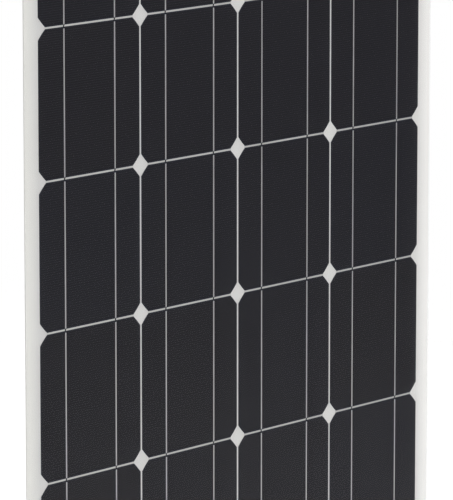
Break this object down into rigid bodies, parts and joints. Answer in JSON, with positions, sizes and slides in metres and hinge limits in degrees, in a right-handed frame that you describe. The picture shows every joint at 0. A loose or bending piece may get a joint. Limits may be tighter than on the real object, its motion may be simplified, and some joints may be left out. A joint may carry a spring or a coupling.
{
  "type": "flexible solar sheet",
  "caption": "Thin bendable solar sheet: square-cornered white laminate with rows of dark pseudo-square cells, corner eyelets and a low lidded junction box.",
  "frame": {"origin": "centre of the middle row on the sheet's flat back face", "axes": "+X across the sheet to the right seen from the lit front, +Y out of the back, +Z along the sheet towards the junction box"},
  "size_m": [0.54, 0.0229, 1.22],
  "materials": {
    "silicon": "satin",
    "backsheet": "satin",
    "film": "satin",
    "ribbon": "satin",
    "eyelet_steel": "polished",
    "box_plastic": "matte",
    "gasket_rubber": "matte",
    "diode_case": "satin"
  },
  "bodies": {
    "row_5": {"backsheet_row_5": "backsheet", "cell_r5c1": "silicon", "cell_r5c2": "silicon", "cell_r5c3": "silicon", "cell_r5c4": "silicon", "front_film": "film", "ribbons_strings_1_2": "ribbon", "ribbons_strings_3_4": "ribbon"},
    "row_4": {"backsheet_row_4": "backsheet", "cell_r4c1": "silicon", "cell_r4c2": "silicon", "cell_r4c3": "silicon", "cell_r4c4": "silicon"},
    "row_3": {"backsheet_row_3": "backsheet", "cell_r3c1": "silicon", "cell_r3c2": "silicon", "cell_r3c3": "silicon", "cell_r3c4": "silicon"},
    "row_2": {"backsheet_row_2": "backsheet", "cell_r2c1": "silicon", "cell_r2c2": "silicon", "cell_r2c3": "silicon", "cell_r2c4": "silicon"},
    "row_1": {"backsheet_row_1": "backsheet", "cell_r1c1": "silicon", "cell_r1c2": "silicon", "cell_r1c3": "silicon", "cell_r1c4": "silicon", "eyelet_top_left": "eyelet_steel", "eyelet_top_right": "eyelet_steel", "centre_bus_ribbon": "ribbon", "junction_box_base": "box_plastic", "lid_gasket": "gasket_rubber", "bypass_diode_1": "diode_case", "bypass_diode_2": "diode_case"},
    "row_6": {"backsheet_row_6": "backsheet", "cell_r6c1": "silicon", "cell_r6c2": "silicon", "cell_r6c3": "silicon", "cell_r6c4": "silicon"},
    "row_7": {"backsheet_row_7": "backsheet", "cell_r7c1": "silicon", "cell_r7c2": "silicon", "cell_r7c3": "silicon", "cell_r7c4": "silicon"},
    "row_8": {"backsheet_row_8": "backsheet", "cell_r8c1": "silicon", "cell_r8c2": "silicon", "cell_r8c3": "silicon", "cell_r8c4": "silicon"},
    "row_9": {"backsheet_row_9": "backsheet", "cell_r9c1": "silicon", "cell_r9c2": "silicon", "cell_r9c3": "silicon", "cell_r9c4": "silicon", "eyelet_bottom_left": "eyelet_steel", "eyelet_bottom_right": "eyelet_steel"},
    "box_lid": {"junction_box_lid": "box_plastic"},
    "left_nut": {"gland_nut_left": "box_plastic"},
    "right_nut": {"gland_nut_right": "box_plastic"}
  },
  "joints": [
    {"name": "flex_rows_4_5", "type": "hinge", "parent": "row_5", "child": "row_4", "pos_m": [0, -0.00125, 0.0633], "axis": [1, 0, 0], "range_deg": [-3.75, 3.75], "stiffness_Nm_per_rad": 20, "deforming": ["front_film", "ribbons_strings_1_2", "ribbons_strings_3_4"]},
    {"name": "flex_rows_3_4", "type": "hinge", "parent": "row_4", "child": "row_3", "pos_m": [0, -0.00125, 0.1899], "axis": [1, 0, 0], "range_deg": [-3.75, 3.75], "stiffness_Nm_per_rad": 20},
    {"name": "flex_rows_2_3", "type": "hinge", "parent": "row_3", "child": "row_2", "pos_m": [0, -0.00125, 0.3165], "axis": [1, 0, 0], "range_deg": [-3.75, 3.75], "stiffness_Nm_per_rad": 20},
    {"name": "flex_rows_1_2", "type": "hinge", "parent": "row_2", "child": "row_1", "pos_m": [0, -0.00125, 0.4431], "axis": [1, 0, 0], "range_deg": [-3.75, 3.75], "stiffness_Nm_per_rad": 20},
    {"name": "flex_rows_5_6", "type": "hinge", "parent": "row_5", "child": "row_6", "pos_m": [0, -0.00125, -0.0633], "axis": [1, 0, 0], "range_deg": [-3.75, 3.75], "stiffness_Nm_per_rad": 20},
    {"name": "flex_rows_6_7", "type": "hinge", "parent": "row_6", "child": "row_7", "pos_m": [0, -0.00125, -0.1899], "axis": [1, 0, 0], "range_deg": [-3.75, 3.75], "stiffness_Nm_per_rad": 20},
    {"name": "flex_rows_7_8", "type": "hinge", "parent": "row_7", "child": "row_8", "pos_m": [0, -0.00125, -0.3165], "axis": [1, 0, 0], "range_deg": [-3.75, 3.75], "stiffness_Nm_per_rad": 20},
    {"name": "flex_rows_8_9", "type": "hinge", "parent": "row_8", "child": "row_9", "pos_m": [0, -0.00125, -0.4431], "axis": [1, 0, 0], "range_deg": [-3.75, 3.75], "stiffness_Nm_per_rad": 20},
    {"name": "lid_hinge", "type": "hinge", "parent": "row_1", "child": "box_lid", "pos_m": [0, -0.01965, 0.6237], "axis": [-1, 0, 0], "range_deg": [0, 110]},
    {"name": "left_nut_turn", "type": "hinge", "parent": "row_1", "child": "left_nut", "pos_m": [-0.0622, -0.01095, 0.6019], "axis": [-1, 0, 0], "range_deg": [0, 720]},
    {"name": "right_nut_turn", "type": "hinge", "parent": "row_1", "child": "right_nut", "pos_m": [0.0622, -0.01095, 0.6019], "axis": [1, 0, 0], "range_deg": [0, 720]}
  ],
  "couplings": [
    {"joint": "flex_rows_3_4", "follows": "flex_rows_4_5", "ratio": 1},
    {"joint": "flex_rows_2_3", "follows": "flex_rows_4_5", "ratio": 1},
    {"joint": "flex_rows_1_2", "follows": "flex_rows_4_5", "ratio": 1},
    {"joint": "flex_rows_5_6", "follows": "flex_rows_4_5", "ratio": -1},
    {"joint": "flex_rows_6_7", "follows": "flex_rows_4_5", "ratio": -1},
    {"joint": "flex_rows_7_8", "follows": "flex_rows_4_5", "ratio": -1},
    {"joint": "flex_rows_8_9", "follows": "flex_rows_4_5", "ratio": -1}
  ]
}
